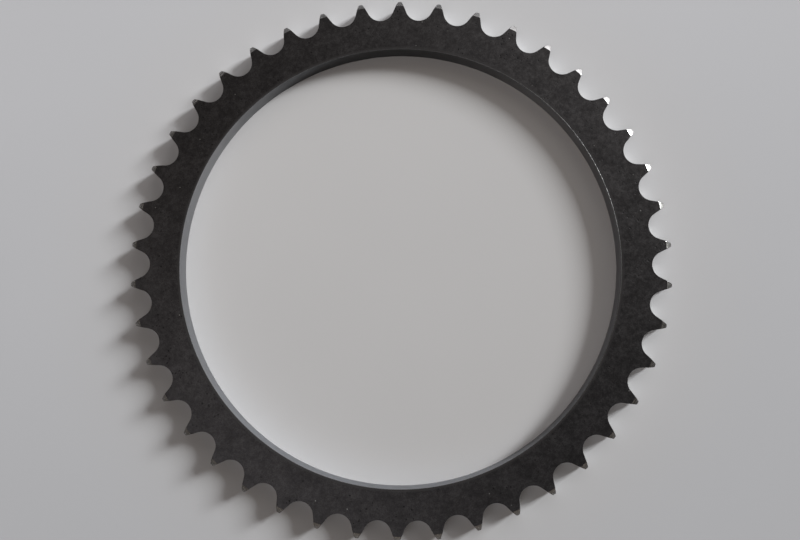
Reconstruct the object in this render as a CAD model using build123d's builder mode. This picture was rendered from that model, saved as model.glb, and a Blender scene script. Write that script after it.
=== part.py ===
from build123d import *
import math
import os

# Chain sprocket of the ring kind, in millimetres.
#
# One flat steel ring carries the teeth on its rim and has a large plain bore, with
# no hub, web or bolt holes.  It is turned from plate, its tooth gaps are cut through
# the full thickness, and it is held by its bore and its two flat faces.
#
# Frame: the ring lies flat on z = 0 with +Z up, its axis is the Z axis, and one
# tooth points along +X.

# ------------------------------------------------------------ the chain it drives
chain_pitch = 12.7  # from one roller of the chain to the next
roller_diameter = 8.51  # the rollers that sit in the gaps

# ------------------------------------------------------------ the ring
tooth_count = 42
ring_thickness = 7.0  # the plate, flat on both faces
rim_width = 9.8  # solid metal between the bore and the bottom of a gap
bore_chamfer = 0.1  # 45 degree edge at both ends of the bore, only enough to take off the burr

# ------------------------------------------------------------ the teeth
tooth_height_allowance = 0.27  # added to the least height that the chain needs
seating_angle_limit = 130.0  # degrees of arc round a roller, for endless teeth
tip_corner_radius = 0.45  # rounds the two corners of each tooth's tip
fullest_corner = 0.6  # the most that it may be, as a share of the tip's width
side_bevel_height = 1.8  # how far down a tooth the side bevel reaches
side_bevel_angle = 30.0  # degrees between the side bevel and the flat face

# ------------------------------------------------------------ worked out
# The chain wraps the wheel as a polygon.  Its corners are the roller centres, on the
# pitch circle, and the middles of its sides lie a little nearer the axis.
half_tooth_angle = 180.0 / tooth_count
pitch_radius = chain_pitch / 2 / math.sin(math.radians(half_tooth_angle))
polygon_radius = chain_pitch / 2 / math.tan(math.radians(half_tooth_angle))

# The gap form is the common standard's: an arc just larger than the roller, then two
# bulged flanks of so large a radius that they look straight.
seat_radius = 0.505 * roller_diameter + 0.069 * roller_diameter ** (1 / 3)
flank_radius = 0.008 * roller_diameter * (tooth_count**2 + 180)
seating_angle = seating_angle_limit - 90.0 / tooth_count

root_radius = pitch_radius - seat_radius
least_tooth_height = (chain_pitch - roller_diameter) / 2
tip_radius = polygon_radius + least_tooth_height + tooth_height_allowance
bore_radius = root_radius - rim_width

# Each flank arc runs past the tip circle, so that a gap cuts clean through the rim.
flank_length = 1.3 * (tip_radius - root_radius)
flank_sweep = math.degrees(flank_length / flank_radius)

side_bevel_depth = side_bevel_height * math.tan(math.radians(side_bevel_angle))
bevel_start_radius = tip_radius - side_bevel_height

# One gap, centred on +X: the roller's seat, and a flank on each side of it.
with BuildSketch() as gap:
    with BuildLine():
        seat = CenterArc(
            (pitch_radius, 0), seat_radius, 180 - seating_angle / 2, seating_angle
        )
        upper = JernArc(seat @ 0, (seat % 0) * -1, flank_radius, flank_sweep)
        lower = JernArc(seat @ 1, seat % 1, flank_radius, -flank_sweep)
        Line(upper @ 1, lower @ 1)
    make_face()

with BuildPart() as sprocket_ring:
    # The toothed outline: a disc less its gaps, with the tip corners rounded.
    with BuildSketch() as outline:
        Circle(tip_radius)
        with PolarLocations(0, tooth_count, start_angle=half_tooth_angle):
            add(gap.sketch, mode=Mode.SUBTRACT)
        tip_width = outline.edges().sort_by(SortBy.DISTANCE)[-1].length
        tip_corners = outline.vertices().group_by(SortBy.DISTANCE)[-1]
        fillet(tip_corners, min(tip_corner_radius, fullest_corner * tip_width))
    extrude(amount=ring_thickness)

    # What the lathe leaves of the disc: the bore with its chamfers, the flat faces, and
    # a side bevel on both faces that thins the teeth, so that the chain slides on.
    with BuildSketch(Plane.XZ) as turned_section:
        with BuildLine():
            Polyline(
                (bore_radius, bore_chamfer),
                (bore_radius + bore_chamfer, 0),
                (bevel_start_radius, 0),
                (tip_radius, side_bevel_depth),
                (tip_radius, ring_thickness - side_bevel_depth),
                (bevel_start_radius, ring_thickness),
                (bore_radius + bore_chamfer, ring_thickness),
                (bore_radius, ring_thickness - bore_chamfer),
                close=True,
            )
        make_face()
    revolve(axis=Axis.Z, mode=Mode.INTERSECT)

sprocket_ring.part.label = "sprocket_ring"
print("pitch circle", round(2 * pitch_radius, 3), "bore", round(2 * bore_radius, 3))
print("roots", round(2 * root_radius, 3), "tips", round(2 * tip_radius, 3))
print("one tip is", round(tip_width, 3), "wide before its corners are rounded")
os.makedirs("parts", exist_ok=True)
export_step(sprocket_ring.part, "parts/sprocket_ring.step")
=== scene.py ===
# %% [markdown]
# # A chain sprocket of the ring kind, dressed for looks
# The solid model comes in as a fixed frame, in metres, lying flat on the floor at z = 0 with its axis on Z.
# This script gives it its skins: black scale on the flat faces, bare turned metal in the bore and on the
# tooth tips, milled metal in the gaps between the teeth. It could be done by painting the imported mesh, but
# that mesh is loose triangles with no edge breaks, so the ring is drawn again from the same few sizes.

# %% Load the frame
import math
import bmesh
import bpy
import numpy as np
from mathutils import Matrix, Vector


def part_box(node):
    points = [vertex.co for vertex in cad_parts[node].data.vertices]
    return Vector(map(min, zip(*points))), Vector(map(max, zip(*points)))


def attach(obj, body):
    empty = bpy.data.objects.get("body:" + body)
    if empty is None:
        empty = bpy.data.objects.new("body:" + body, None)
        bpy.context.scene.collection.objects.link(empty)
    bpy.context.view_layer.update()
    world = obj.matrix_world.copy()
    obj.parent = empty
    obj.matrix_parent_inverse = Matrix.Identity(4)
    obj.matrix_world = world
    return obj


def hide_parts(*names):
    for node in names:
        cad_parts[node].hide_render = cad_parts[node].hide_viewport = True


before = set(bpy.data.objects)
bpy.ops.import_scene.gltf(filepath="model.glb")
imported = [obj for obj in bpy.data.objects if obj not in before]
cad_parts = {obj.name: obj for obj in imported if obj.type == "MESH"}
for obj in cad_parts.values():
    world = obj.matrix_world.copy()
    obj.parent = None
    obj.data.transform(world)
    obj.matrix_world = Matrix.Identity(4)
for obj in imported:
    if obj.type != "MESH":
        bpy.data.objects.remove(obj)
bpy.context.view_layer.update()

ring_low, ring_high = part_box("sprocket_ring")
print("the frame has", sorted(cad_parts), "from", tuple(ring_low), "to", tuple(ring_high))

# %% [markdown]
# ## The camera
# The ring is looked at from 0.27 m above, almost straight down, with a lens a little longer than a wide one.
# A camera could be aimed with a constraint, but three numbers for the eye, three for the spot that it looks
# at and one for the roll say the same thing, and they leave nothing live in the scene.

# %% Place the camera
EYE = Vector((0.003707, -0.024410, 0.270565))
AIM = Vector((0.000057, -0.001800, 0.007000))
PICTURE_UP = Vector((0.220503, 0.972072, 0.080335))  # the way that the top of the picture points
LENS_MM = 37.19

backward = (EYE - AIM).normalized()
rightward = PICTURE_UP.cross(backward).normalized()
upward = backward.cross(rightward)
camera_data = bpy.data.cameras.new("camera")
camera_data.lens = LENS_MM
camera_data.sensor_width = 36.0
camera_data.clip_start = 0.01
camera_data.clip_end = 60.0
camera = bpy.data.objects.new("camera", camera_data)
camera.matrix_world = Matrix.Translation(EYE) @ Matrix((rightward, upward, backward)).transposed().to_4x4()
bpy.context.scene.collection.objects.link(camera)
bpy.context.scene.camera = camera
print("camera tilt from straight down, in degrees:", round(math.degrees(backward.angle(Vector((0, 0, 1)))), 2))

# %% [markdown]
# ## The sizes of the ring
# A sprocket is cut to fit its chain, so four numbers give nearly everything: the pitch of the chain, the
# diameter of its rollers, the number of teeth, and the thickness. The rest follows by the rules of chain
# drawing: a round seat for the roller, then a long, nearly straight flank on each side of it.

# %% Work out the tooth form
MM = 0.001
TEETH = 42
PITCH = 12.7 * MM
ROLLER = 8.51 * MM
THICKNESS = 7.0 * MM
BORE_RADIUS = 70.734 * MM
BORE_CHAMFER = 0.1 * MM
LIP_WIDTH = 0.09 * MM
LIP_DEPTH = 0.045 * MM
LIP_RUNOUT = 0.35 * MM
TIP_CORNER = 0.45 * MM
BEVEL_HEIGHT = 1.8 * MM
BEVEL_ANGLE = math.radians(30.0)
EDGE_BREAK = 0.08 * MM
BEVEL_CROWN = 0.045 * MM
TOOTH_ALLOWANCE = 0.27 * MM  # added to the least height that the chain needs
SEAT_ANGLE_LIMIT = 130.0  # degrees of seat round a roller, for endless teeth

HALF_TOOTH = math.pi / TEETH
pitch_radius = PITCH / 2 / math.sin(HALF_TOOTH)
seat_radius = 0.505 * ROLLER + 0.069 * (ROLLER / MM) ** (1 / 3) * MM
flank_radius = 0.008 * ROLLER * (TEETH**2 + 180)
seat_half = math.radians(SEAT_ANGLE_LIMIT - 90.0 / TEETH) / 2
tip_radius = PITCH / 2 / math.tan(HALF_TOOTH) + (PITCH - ROLLER) / 2 + TOOTH_ALLOWANCE
bevel_start = tip_radius - BEVEL_HEIGHT
print("pitch circle", round(2 * pitch_radius / MM, 3), "mm, over the tips", round(2 * tip_radius / MM, 3), "mm")

# %% [markdown]
# ## One half of a gap
# The outline is four arcs in a row, seen from the middle of a gap: the seat, the flank, the rounded corner
# of the tooth's tip, and the short land on top of it. Each arc is worked out from its own centre, so the
# direction square to the edge is known exactly as well, which the edge break needs.

# %% Draw half of a gap
def arc(centre, radius, start, end, count):
    """Points on a circle: the centre plus radius times the cosine and sine of evenly spaced angles."""
    turn = np.linspace(start, end, count)
    spoke = np.stack([np.cos(turn), np.sin(turn)], 1)
    return centre + radius * spoke, spoke


def meeting(centre_a, radius_a, centre_b, radius_b):
    """Where two circles cross: along the line of centres by (d*d + a*a - b*b) / 2d, then square to it."""
    line = centre_b - centre_a
    distance = np.hypot(*line)
    along = (distance**2 + radius_a**2 - radius_b**2) / (2 * distance)
    aside = math.sqrt(radius_a**2 - along**2)
    unit = line / distance
    square = np.array([-unit[1], unit[0]])
    foot = centre_a + unit * along
    return foot + square * aside, foot - square * aside


def angle_of(vector):
    return math.atan2(vector[1], vector[0])


origin = np.zeros(2)
seat_centre = np.array([pitch_radius, 0.0])
seat_end = seat_centre + seat_radius * np.array([-math.cos(seat_half), math.sin(seat_half)])
flank_centre = seat_end + (seat_end - seat_centre) / seat_radius * flank_radius
crossings = meeting(origin, tip_radius - TIP_CORNER, flank_centre, flank_radius - TIP_CORNER)
corner_centre = min(crossings, key=lambda point: abs(angle_of(point)))
toward_corner = corner_centre - flank_centre
on_flank = flank_centre + toward_corner / np.hypot(*toward_corner) * flank_radius
print("seat radius", round(seat_radius / MM, 3), "mm, flank radius", round(flank_radius / MM, 1), "mm")

seat, seat_spoke = arc(seat_centre, seat_radius, math.pi, math.pi - seat_half, 13)
flank_start, flank_stop = angle_of(seat_end - flank_centre), angle_of(on_flank - flank_centre)
flank, flank_spoke = arc(flank_centre, flank_radius, flank_start, flank_stop, 8)
corner_start, corner_stop = angle_of(on_flank - corner_centre), angle_of(corner_centre)
corner, corner_spoke = arc(corner_centre, TIP_CORNER, corner_start, corner_stop, 12)
land, land_spoke = arc(origin, tip_radius, corner_stop, HALF_TOOTH, 3)
half_edge = np.concatenate([seat[:-1], flank[:-1], corner[:-1], land])
half_outward = np.concatenate([-seat_spoke[:-1], flank_spoke[:-1], corner_spoke[:-1], land_spoke])
reach_mm = [round(np.hypot(*point) / MM, 3) for point in (half_edge[0], half_edge[-1])]
print("half a gap has", len(half_edge), "points, from radius", reach_mm[0], "to", reach_mm[1])

# %% [markdown]
# ## The whole outline
# The half is mirrored about the middle of the tooth to make one pitch, and that pitch is turned round the
# axis 42 times. Turning is one array product: every point against every turn.

# %% Carry it round the ring
def flipped(points):
    """The mirror about the tooth's middle line: an angle becomes twice the half tooth minus itself."""
    double = 2 * HALF_TOOTH
    matrix = np.array([[math.cos(double), math.sin(double)], [math.sin(double), -math.cos(double)]])
    return (points @ matrix.T)[::-1]


def round_the_ring(points):
    """Each point (x, y) turned by every tooth's angle: x cos - y sin, x sin + y cos."""
    turn = (np.arange(TEETH) * 2 + 1) * HALF_TOOTH
    x = np.outer(np.cos(turn), points[:, 0]) - np.outer(np.sin(turn), points[:, 1])
    y = np.outer(np.sin(turn), points[:, 0]) + np.outer(np.cos(turn), points[:, 1])
    return np.stack([x.ravel(), y.ravel()], 1)


edge = round_the_ring(np.concatenate([half_edge, flipped(half_edge)[1:-1]]))
outward = round_the_ring(np.concatenate([half_outward, flipped(half_outward)[1:-1]]))
print("the outline has", len(edge), "points")

# %% [markdown]
# ## The skin of the ring
# The surface has two parameters: how far round the ring, and how far round the section. The section goes up
# the bore, over a small chamfer and the lip that the tool rolled up beside it, out across the face, down the
# bevel that was turned on the blank before the teeth were cut, over the broken edge and down the wall, and
# then back underneath. Where a line round the section ends in a gap, the bevel's rows fall together on its
# edge and are merged away.

# %% Build the grid
FACE_ROW_RADII = (74 * MM, 78 * MM)
BEVEL_SHARES = (0.0, 0.25, 0.5, 0.75, 1.0)


def height_at(radius):
    """The top surface: flat at the thickness, then lower by the distance past the bevel's start times the
    tangent of its angle, with a slight crown of 4 t (1 - t)."""
    out = np.maximum(radius - bevel_start, 0.0)
    t = np.clip(out / BEVEL_HEIGHT, 0.0, 1.0)
    return THICKNESS - out * math.tan(BEVEL_ANGLE) + BEVEL_CROWN * 4 * t * (1 - t)


def section_rows():
    """Rows of x, y, z from the top of the bore's wall out to the outer wall, with a point per line round the
    ring. The lip is a dip just outside the chamfer, steep on its inner side and long on its outer one."""
    spoke = edge / np.hypot(edge[:, 0], edge[:, 1])[:, None]
    broken = edge - outward * EDGE_BREAK
    reach = np.hypot(broken[:, 0], broken[:, 1])
    broken_spoke = broken / reach[:, None]
    start = np.minimum(reach, bevel_start)
    lip = BORE_RADIUS + BORE_CHAMFER
    inner = (
        (BORE_RADIUS, THICKNESS - BORE_CHAMFER),
        (lip, THICKNESS),
        (lip + LIP_WIDTH, THICKNESS - LIP_DEPTH),
        (lip + LIP_WIDTH + LIP_RUNOUT, THICKNESS),
        *((radius, THICKNESS) for radius in FACE_ROW_RADII),
    )
    rows = [np.column_stack([spoke * radius, np.full(len(edge), z)]) for radius, z in inner]
    for share in BEVEL_SHARES:
        radius = start + (reach - start) * share
        rows.append(np.column_stack([broken_spoke * radius[:, None], height_at(radius)]))
    rows.append(np.column_stack([edge, height_at(np.hypot(edge[:, 0], edge[:, 1])) - EDGE_BREAK]))
    return rows


upper = section_rows()
lower = [row * (1, 1, -1) + (0, 0, THICKNESS) for row in upper[::-1]]
grid = np.stack(upper + lower, 1)
BORE, CHAMFER, LIP, FACE, BEVEL, BREAK, GAP = range(7)
upper_zones = [CHAMFER, LIP] + [FACE] * 4 + [BEVEL] * 4 + [BREAK]
zones = np.array(upper_zones + [GAP] + upper_zones[::-1] + [BORE])
print("the grid is", grid.shape[0], "by", grid.shape[1])

# %% [markdown]
# ## From grid to mesh
# Each cell of the grid is a four-sided face whose corners go round so that it looks outwards. A render looks
# the same with the corners the other way round, so the signed volume is printed: it is positive only when the
# faces look outwards. Cells that have lost a side to the merging become triangles or go. Edges that turn by
# more than a few degrees are kept sharp, and everything along the outline is shaded smooth.

# %% Make the ring
MERGE_DISTANCE = 0.0005 * MM
FLAT_DISTANCE = 0.0002 * MM
SHARP_ANGLE = math.radians(7)


def skin(name, grid, zones):
    """Closed both ways: cell (i, j) joins (i, j), (i, j + 1), (i + 1, j + 1) and (i + 1, j), counted round."""
    around, across = grid.shape[:2]
    number = np.arange(around * across).reshape(around, across)
    ahead, beside = np.roll(number, -1, 0), np.roll(number, -1, 1)
    both = np.roll(ahead, -1, 1)
    cells = np.stack([number, beside, both, ahead], 2).reshape(-1, 4)
    mesh = bpy.data.meshes.new(name)
    mesh.vertices.add(around * across)
    mesh.vertices.foreach_set("co", grid.ravel())
    mesh.loops.add(cells.size)
    mesh.loops.foreach_set("vertex_index", cells.ravel())
    mesh.polygons.add(len(cells))
    mesh.polygons.foreach_set("loop_start", np.arange(len(cells)) * 4)
    mesh.polygons.foreach_set("material_index", np.tile(zones, around))
    mesh.update(calc_edges=True)
    return mesh


ring_mesh = skin("sprocket_ring_dressed", grid, zones)
work = bmesh.new()
work.from_mesh(ring_mesh)
bmesh.ops.remove_doubles(work, verts=work.verts, dist=MERGE_DISTANCE)
bmesh.ops.dissolve_degenerate(work, edges=work.edges, dist=FLAT_DISTANCE)
open_edges = sum(1 for e in work.edges if not e.is_manifold)
volume = work.calc_volume(signed=True)
work.to_mesh(ring_mesh)
work.free()
ring_mesh.shade_smooth()
ring_mesh.set_sharp_from_angle(angle=SHARP_ANGLE)
ring = bpy.data.objects.new("sprocket_ring_dressed", ring_mesh)
bpy.context.scene.collection.objects.link(ring)
print("ring:", len(ring_mesh.polygons), "faces,", open_edges, "open edges,", round(volume / MM**3), "cubic mm")

# %% [markdown]
# ## Sums on wires
# A finish is a sum: so much of one pattern, times a mask, plus another. This class lets such a sum be written
# as an expression. Every sign adds one Math node, and any other node comes from one method.

# %% A wire and its sums
class Wire:
    """One socket of a node tree. Sums such as wire + 2 or 1 - wire add a Math node and return its output."""

    def __init__(self, tree, socket=None):
        self.tree, self.socket = tree, socket

    def node(self, kind, settings=None, inputs=None, out=0):
        """Adds a node of a type, sets its settings first, then the values or links of its sockets."""
        made = self.tree.nodes.new(kind)
        for key, value in (settings or {}).items():
            if key == "stops":
                while len(made.color_ramp.elements) < len(value):
                    made.color_ramp.elements.new(0.5)
                for stop, (place, colour) in zip(made.color_ramp.elements, value):
                    stop.position, stop.color = place, (*colour, 1.0)
            else:
                setattr(made, key, value)
        for key, value in (inputs or {}).items():
            if isinstance(value, Wire):
                self.tree.links.new(value.socket, made.inputs[key])
            elif isinstance(value, (tuple, list)) and made.inputs[key].type == "RGBA":
                made.inputs[key].default_value = (*value, 1.0)[:4]
            else:
                made.inputs[key].default_value = value
        return Wire(self.tree, made.outputs[out]) if len(made.outputs) else made

    def maths(self, operation, a, b=0.0):
        return self.node("ShaderNodeMath", {"operation": operation}, {0: a, 1: b})

    def __add__(self, other): return self.maths("ADD", self, other)
    def __radd__(self, other): return self.maths("ADD", other, self)
    def __sub__(self, other): return self.maths("SUBTRACT", self, other)
    def __rsub__(self, other): return self.maths("SUBTRACT", other, self)
    def __mul__(self, other): return self.maths("MULTIPLY", self, other)
    def __rmul__(self, other): return self.maths("MULTIPLY", other, self)

    def step(self, low, high):
        """0 below low, 1 above high, and a smooth rise between; low may be the larger, for a fall."""
        settings = {"interpolation_type": "SMOOTHSTEP", "clamp": True}
        return self.node("ShaderNodeMapRange", settings, {"Value": self, "From Min": low, "From Max": high})

    def blend(self, under, over):
        """The colour under where this wire is 0, and over where it is 1."""
        return self.node("ShaderNodeMix", {"data_type": "RGBA"}, {0: self, 6: under, 7: over}, out=2)

    def noise(self, place, scale, detail=2.0, rough=0.5):
        inputs = {"Vector": place, "Scale": scale, "Detail": detail, "Roughness": rough}
        return self.node("ShaderNodeTexNoise", {"noise_dimensions": "3D"}, inputs, out="Fac")

    def vector_maths(self, operation, a, b=None, out="Vector"):
        inputs = {0: a} if b is None else {0: a, 1: b}
        return self.node("ShaderNodeVectorMath", {"operation": operation}, inputs, out=out)

    def marks(self, where):
        """Tool marks: noise along one line, where says how far along it a point is."""
        inputs = {"W": where, "Scale": 1.0, "Detail": 3.0}
        return self.node("ShaderNodeTexNoise", {"noise_dimensions": "1D"}, inputs, out="Fac")

    def cells(self, place, scale, channel):
        """Loose spots: how far a point is from the nearest one, and a number of 0 to 1 that each has."""
        inputs = {"Vector": place, "Scale": scale}
        distance = self.node("ShaderNodeTexVoronoi", {"feature": "F1"}, inputs, out="Distance")
        colour = self.node("ShaderNodeTexVoronoi", {"feature": "F1"}, inputs, out="Color")
        return distance, colour.node("ShaderNodeSeparateColor", None, {"Color": colour}, out=channel)


PER_METRE = (1000.0, 1000.0, 1000.0)
LEVEL = (1.0, 1.0, 0.0)


def new_finish(name):
    """An empty material, and a wire that gives places on the piece in millimetres."""
    material = bpy.data.materials.new(name)
    material.use_nodes = True
    material.node_tree.nodes.clear()
    start = Wire(material.node_tree)
    place = start.node("ShaderNodeTexCoord", out="Object")
    place = start.node("ShaderNodeMapping", {"vector_type": "POINT"}, {"Vector": place, "Scale": PER_METRE})
    return material, place


def from_the_axis(place):
    """How far a place is from the ring's axis, in millimetres: the length of (x, y, 0)."""
    return place.vector_maths("LENGTH", place.vector_maths("MULTIPLY", place, LEVEL), out="Value")


def metal_finish(place, colour, metallic, roughness, normal, **fixed):
    """Ends a finish: one Principled shader into the output."""
    inputs = {"Base Color": colour, "Metallic": metallic, "Roughness": roughness, "Normal": normal, **fixed}
    shader = place.node("ShaderNodeBsdfPrincipled", None, inputs)
    place.node("ShaderNodeOutputMaterial", None, {"Surface": shader})


def bump(height, strength, distance):
    return height.node("ShaderNodeBump", None, {"Height": height, "Strength": strength, "Distance": distance * MM})


print("wires ready")

# %% [markdown]
# ## Black scale on the faces
# The flat faces are hot-rolled plate that was blackened and never machined. Up close it is a near-black skin
# with soft patches, a fine grain, small sharp pits in loose clusters, and here and there a pale fleck. Each of
# those is a pattern at its own scale, and the sum of them is the colour and the height. A strip beside the
# bore is rubbed a little paler. A dark tint on the specular keeps the skin black when it is seen from low
# down, where plain metal would turn white.

# %% Mix the black scale
black_scale, place = new_finish("black_scale")
patches = place.noise(place, 0.16, 3.0, 0.6)
mottle = place.noise(place, 0.75, 4.0, 0.65)
grain = place.noise(place, 3.2, 3.0, 0.6)
clusters = place.noise(place, 0.11, 2.0, 0.5).step(0.47, 0.62)
pit_distance, pit_pick = place.cells(place, 0.95, channel=0)
pits = (pit_distance + (mottle - 0.5) * 0.35).step(0.30, 0.16) * pit_pick.step(0.55, 0.7) * (clusters * 0.8 + 0.2)
fleck_distance, fleck_pick = place.cells(place, 0.42, channel=1)
flecks = (fleck_distance + (grain - 0.5) * 0.12).step(0.10, 0.05) * fleck_pick.step(0.85, 0.90)
tone = (patches - 0.5) * 0.7 + (mottle - 0.5) * 0.9 + (grain - 0.5) * 0.9
tone = tone.step(-0.45, 0.45)
shades = [(0.0, (0.029, 0.0272, 0.0284)), (0.5, (0.046, 0.0434, 0.0449)), (1.0, (0.070, 0.0664, 0.0684))]
colour = tone.node("ShaderNodeValToRGB", {"stops": shades}, {"Fac": tone})
colour = (pits * 0.85).blend(colour, (0.012, 0.012, 0.012))
colour = (flecks * 0.75).blend(colour, (0.28, 0.275, 0.27))
rubbed = (from_the_axis(place) + (mottle - 0.5) * 1.2 + (grain - 0.5) * 0.5).step(71.8, 70.9)
colour = (rubbed * 0.6).blend(colour, (0.086, 0.082, 0.083))
height = grain * 0.35 + mottle * 0.65 - pits * 1.3
roughness = 0.39 + (mottle - 0.5) * 0.15 + pits * 0.15
scale_tint = {"Specular Tint": (0.45, 0.45, 0.45)}
metal_finish(place, colour, 0.93, roughness, bump(height, 0.4, 0.06), **scale_tint)
print("black scale:", len(black_scale.node_tree.nodes), "nodes")

# %% [markdown]
# ## Turned steel on the bevels
# The bevel on both sides of the tips was turned on a lathe, so its marks run round the axis. Noise along the
# distance from the axis gives them, shifted by a slower noise so that they aren't perfect circles.

# %% Mix the turned steel
turned_steel, place = new_finish("turned_steel")
wander = place.noise(place, 0.3, 2.0)
marks = place.marks(from_the_axis(place) * 7.0 + wander * 0.8)
stain = place.noise(place, 0.9, 3.0, 0.6)
colour = (marks * 0.4 + stain * 0.6).step(0.3, 0.7).blend((0.36, 0.35, 0.34), (0.52, 0.51, 0.50))
metal_finish(place, colour, 1.0, 0.26 + (stain - 0.5) * 0.14, bump(marks, 0.35, 0.02))
print("turned steel:", len(turned_steel.node_tree.nodes), "nodes")

# %% [markdown]
# ## Bored steel
# The bore's wall was cut by a tool that travelled along the axis, so its marks are rings too, but stacked in
# height. It is bare steel with a thin grey film, a little blue. The side of the wall that the window leaves in
# shade is painted darker, and darker still along a stretch of it: painted shade. The roughness is one number:
# when it varied, curls showed on the wall.

# %% Mix the bored steel
bored_steel, place = new_finish("bored_steel")
height_mm = place.node("ShaderNodeSeparateXYZ", None, {"Vector": place}, out="Z")
wander = place.noise(place, 0.05, 2.0)
marks = place.marks(height_mm * 5.0 + wander * 1.5)
film = place.noise(place, 0.25, 4.0, 0.6)
colour = (film * 0.6 + marks * 0.4).step(0.3, 0.7).blend((0.71, 0.72, 0.745), (0.77, 0.78, 0.805))
# painted shade: the wall's colour turns darker towards the side that the window doesn't light, and darker still
# along a stretch of it
SHADED_WALL_SIDE = (0.07, 0.9975, 0.0)
toward_shaded_wall = place.vector_maths("DOT_PRODUCT", place, SHADED_WALL_SIDE, out="Value") + (film - 0.5) * 12.0
colour = toward_shaded_wall.step(-75.0, 30.0).blend(colour, (0.55, 0.552, 0.564))
colour = toward_shaded_wall.step(42.0, 74.0).blend(colour, (0.215, 0.217, 0.222))
film_tint = {"Specular Tint": (0.31, 0.315, 0.325)}
metal_finish(place, colour, 1.0, 0.28, bump(marks, 0.2, 0.02), **film_tint)
print("bored steel:", len(bored_steel.node_tree.nodes), "nodes")

# %% [markdown]
# ## Milled steel in the gaps
# The gaps between the teeth were milled through the plate, so the marks stand upright, along the axis. Noise
# gives them when the places that it reads are squashed along the axis.

# %% Mix the milled steel
milled_steel, place = new_finish("milled_steel")
marks = place.noise(place.vector_maths("MULTIPLY", place, (1.0, 1.0, 0.03)), 6.0, 2.0)
film = place.noise(place, 0.5, 3.0, 0.6)
colour = (film * 0.5 + marks * 0.5).step(0.3, 0.7).blend((0.62, 0.62, 0.62), (0.72, 0.72, 0.72))
metal_finish(place, colour, 1.0, 0.30 + (film - 0.5) * 0.15, bump(marks, 0.3, 0.03))
print("milled steel:", len(milled_steel.node_tree.nodes), "nodes")

# %% [markdown]
# ## Edges
# Three thin strips have finishes of their own. The bore's chamfer is dull grey scale. The lip beside it has
# most of its black worn off, and the broken edges of the teeth only a little, so both come from one function.

# %% Mix the edge finishes and dress the ring
def worn_edge(name, worn_share, bare):
    """Black scale with bare metal showing where a noise is above what worn_share leaves."""
    material, place = new_finish(name)
    wear = place.noise(place, 1.4, 3.0, 0.65).step(0.62 - worn_share * 0.3, 0.70 - worn_share * 0.3)
    grain = place.noise(place, 4.0, 2.0)
    colour = (wear * 0.8).blend((0.022, 0.021, 0.022), bare)
    metal_finish(place, colour, wear * 0.8, 0.5 - wear * 0.12, bump(grain, 0.3, 0.03))
    return material


def dull_chamfer():
    """Thin grey scale, even and rough."""
    material, place = new_finish("dull_chamfer")
    grain = place.noise(place, 1.6, 3.0, 0.6)
    colour = grain.step(0.3, 0.7).blend((0.050, 0.050, 0.053), (0.085, 0.085, 0.090))
    metal_finish(place, colour, 0.0, 0.66, bump(grain, 0.4, 0.05), **{"Specular IOR Level": 0.4})
    return material


chamfer_edge = dull_chamfer()
lip_edge = worn_edge("rolled_lip", 0.6, (0.11, 0.11, 0.11))
tooth_edge = worn_edge("tooth_edge", 0.1, (0.30, 0.30, 0.31))
for material in (bored_steel, chamfer_edge, lip_edge, black_scale, turned_steel, tooth_edge, milled_steel):
    ring_mesh.materials.append(material)
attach(ring, "root")
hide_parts("sprocket_ring")
print("the ring wears", [m.name for m in ring_mesh.materials])

# %% [markdown]
# ## The floor
# A sheet of pale board on a table. It is one flat plane, but large, so that low views still stand on it. Its
# colour is painted darker towards one side, a painted shade where the light on it falls off, and it is a little
# cooler away from the ring.

# %% Lay the floor
FLOOR_SIZE = 6.0
side = FLOOR_SIZE / 2
floor_mesh = bpy.data.meshes.new("floor")
corners = [(-side, -side, 0), (side, -side, 0), (side, side, 0), (-side, side, 0)]
floor_mesh.from_pydata(corners, [], [(0, 1, 2, 3)])
floor = bpy.data.objects.new("floor", floor_mesh)
bpy.context.scene.collection.objects.link(floor)
pale_board, place = new_finish("pale_board")
across = place.node("ShaderNodeSeparateXYZ", None, {"Vector": place}, out="Y")
drift = place.noise(place, 0.02, 2.0) - 0.5
fibre = place.noise(place, 1.2, 2.0) - 0.5
# painted shade: the board turns darker towards -y, where the light on it falls off
painted_falloff = (across + drift * 40.0 + fibre * 16.0).step(-160.0, 160.0)
middle = painted_falloff.blend((0.3937, 0.3871, 0.3927), (0.4761, 0.4675, 0.4746))
outside = painted_falloff.blend((0.3876, 0.3891, 0.4078), (0.4701, 0.4706, 0.4939))
from_middle = place.vector_maths("LENGTH", place, out="Value")
colour = from_middle.step(60.0, 130.0).blend(middle, outside)
metal_finish(place, colour, 0.0, 0.75, bump(fibre, 0.15, 0.05), **{"Specular IOR Level": 0.0})
floor_mesh.materials.append(pale_board)
print("floor", FLOOR_SIZE, "m")

# %% [markdown]
# ## The light
# One soft window stands low on one side and gives the long soft shadows and the bright bevels that face it. It
# is far away, so that the floor is lit evenly. A large, weak panel stands near the ring for a pale wall. Each
# is sized by how large it looks from the ring, and its strength is the light that it adds there, so it can be
# moved without a change of level. The camera doesn't see either.

# %% Hang the window and the pale wall
def direction(azimuth, elevation):
    """The unit vector towards an azimuth and an elevation, both in degrees."""
    a, e = math.radians(azimuth), math.radians(elevation)
    return Vector((math.cos(a) * math.cos(e), math.sin(a) * math.cos(e), math.sin(e)))


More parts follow.
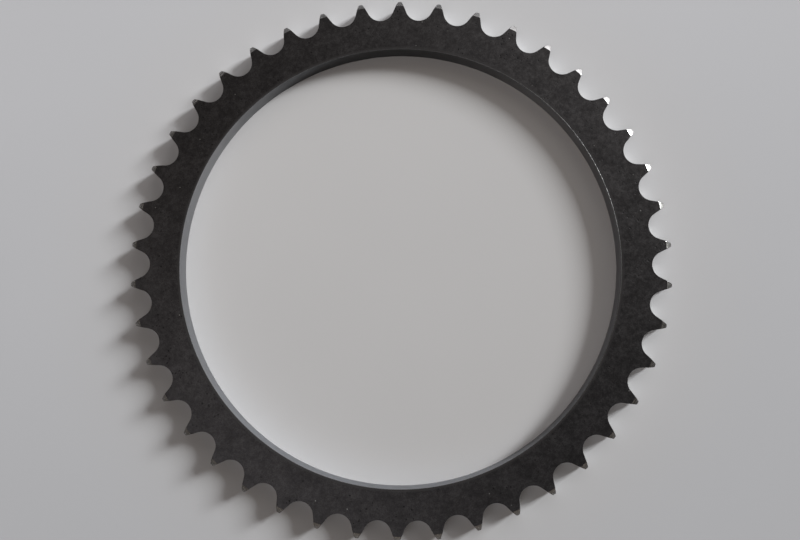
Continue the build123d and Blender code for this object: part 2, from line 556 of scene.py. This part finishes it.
def soft_panel(name, azimuth, elevation, distance, half_width, half_height, share, colour):
    """A flat lamp that faces the ring. Its half sizes are angles seen from there. Its share is what it adds on
    level ground there, where 1 shows a colour as it is written: radiance times solid angle times the sine of
    its elevation, over pi."""
    toward_it = direction(azimuth, elevation)
    data = bpy.data.lights.new(name, "AREA")
    data.shape = "RECTANGLE"
    data.size = 2 * distance * math.tan(math.radians(half_width))
    data.size_y = 2 * distance * math.tan(math.radians(half_height))
    radiance = share * math.pi * distance**2 / (data.size * data.size_y * toward_it.z)
    data.energy = radiance * math.pi * data.size * data.size_y
    data.color = colour
    lamp = bpy.data.objects.new(name, data)
    facing = toward_it.to_track_quat("Z", "Y").to_matrix().to_4x4()
    lamp.matrix_world = Matrix.Translation(toward_it * distance) @ facing
    lamp.visible_camera = False
    bpy.context.scene.collection.objects.link(lamp)
    print(name, round(data.size, 2), "by", round(data.size_y, 2), "m,", round(data.energy, 1), "W")


soft_panel(
    "window", azimuth=18.3, elevation=28.8, distance=20.0,
    half_width=5.5, half_height=10.2, share=0.66, colour=(0.97, 1.0, 1.0),
)
soft_panel(
    "pale_wall", azimuth=55.0, elevation=46.0, distance=0.52,
    half_width=20.0, half_height=16.0, share=0.07, colour=(1.0, 0.99, 0.97),
)

# %% [markdown]
# ## The room
# The room around the lamps is dim and gives the metal something to reflect. It is the world's colour as a
# function of where one looks: a warm ring high up, a paler band at the horizon, a pale side and a pale door,
# a patch of skylight, and a side and a corner that are darker. Bright patches are near white, the rest warm.

# %% Fill the room
room = bpy.data.worlds.new("room")
room.use_nodes = True
room.node_tree.nodes.clear()
bpy.context.scene.world = room
start = Wire(room.node_tree)
gaze = start.node("ShaderNodeTexCoord", out="Generated")
rise = gaze.node("ShaderNodeSeparateXYZ", None, {"Vector": gaze}, out="Z")


def toward(azimuth, elevation):
    """How much the gaze points at a direction: the product of the two unit vectors, 1 when they agree."""
    point = tuple(direction(azimuth, elevation))
    return gaze.vector_maths("DOT_PRODUCT", gaze, point, out="Value")


DIM = 0.09
high_ring = rise.step(0.46, 0.62) * rise.step(0.90, 0.80)
overhead = rise.step(0.80, 0.92)
pale_side = toward(80.0, 20.0).step(0.60, 0.98)
pale_door = toward(38.0, 16.0).step(0.90, 0.99)
faint_side = toward(275.0, 14.0).step(0.6, 0.98)
dark_side = toward(322.0, 12.0).step(0.70, 0.97)
dark_corner = toward(276.0, 56.0).step(0.80, 0.97)
skylight = toward(217.0, 64.0).step(0.90, 0.975)
horizon = rise.step(0.11, 0.01)
level = DIM + high_ring * 0.23 - overhead * 0.06 + pale_side * 0.11 + pale_door * 2.0
level = level + faint_side * 0.10 - dark_side * 0.055 + skylight * 1.2 + horizon * 0.24 - dark_corner * 0.20
tint = rise.step(0.30, 0.55).blend((1.0, 0.93, 0.88), (1.0, 0.81, 0.61))
tint = (skylight + pale_side + pale_door + horizon).blend(tint, (0.96, 0.96, 0.99))
background = gaze.node("ShaderNodeBackground", None, {"Color": tint, "Strength": level})
gaze.node("ShaderNodeOutputWorld", None, {"Surface": background})
bpy.context.scene.view_settings.view_transform = "Standard"
print("the room is filled")
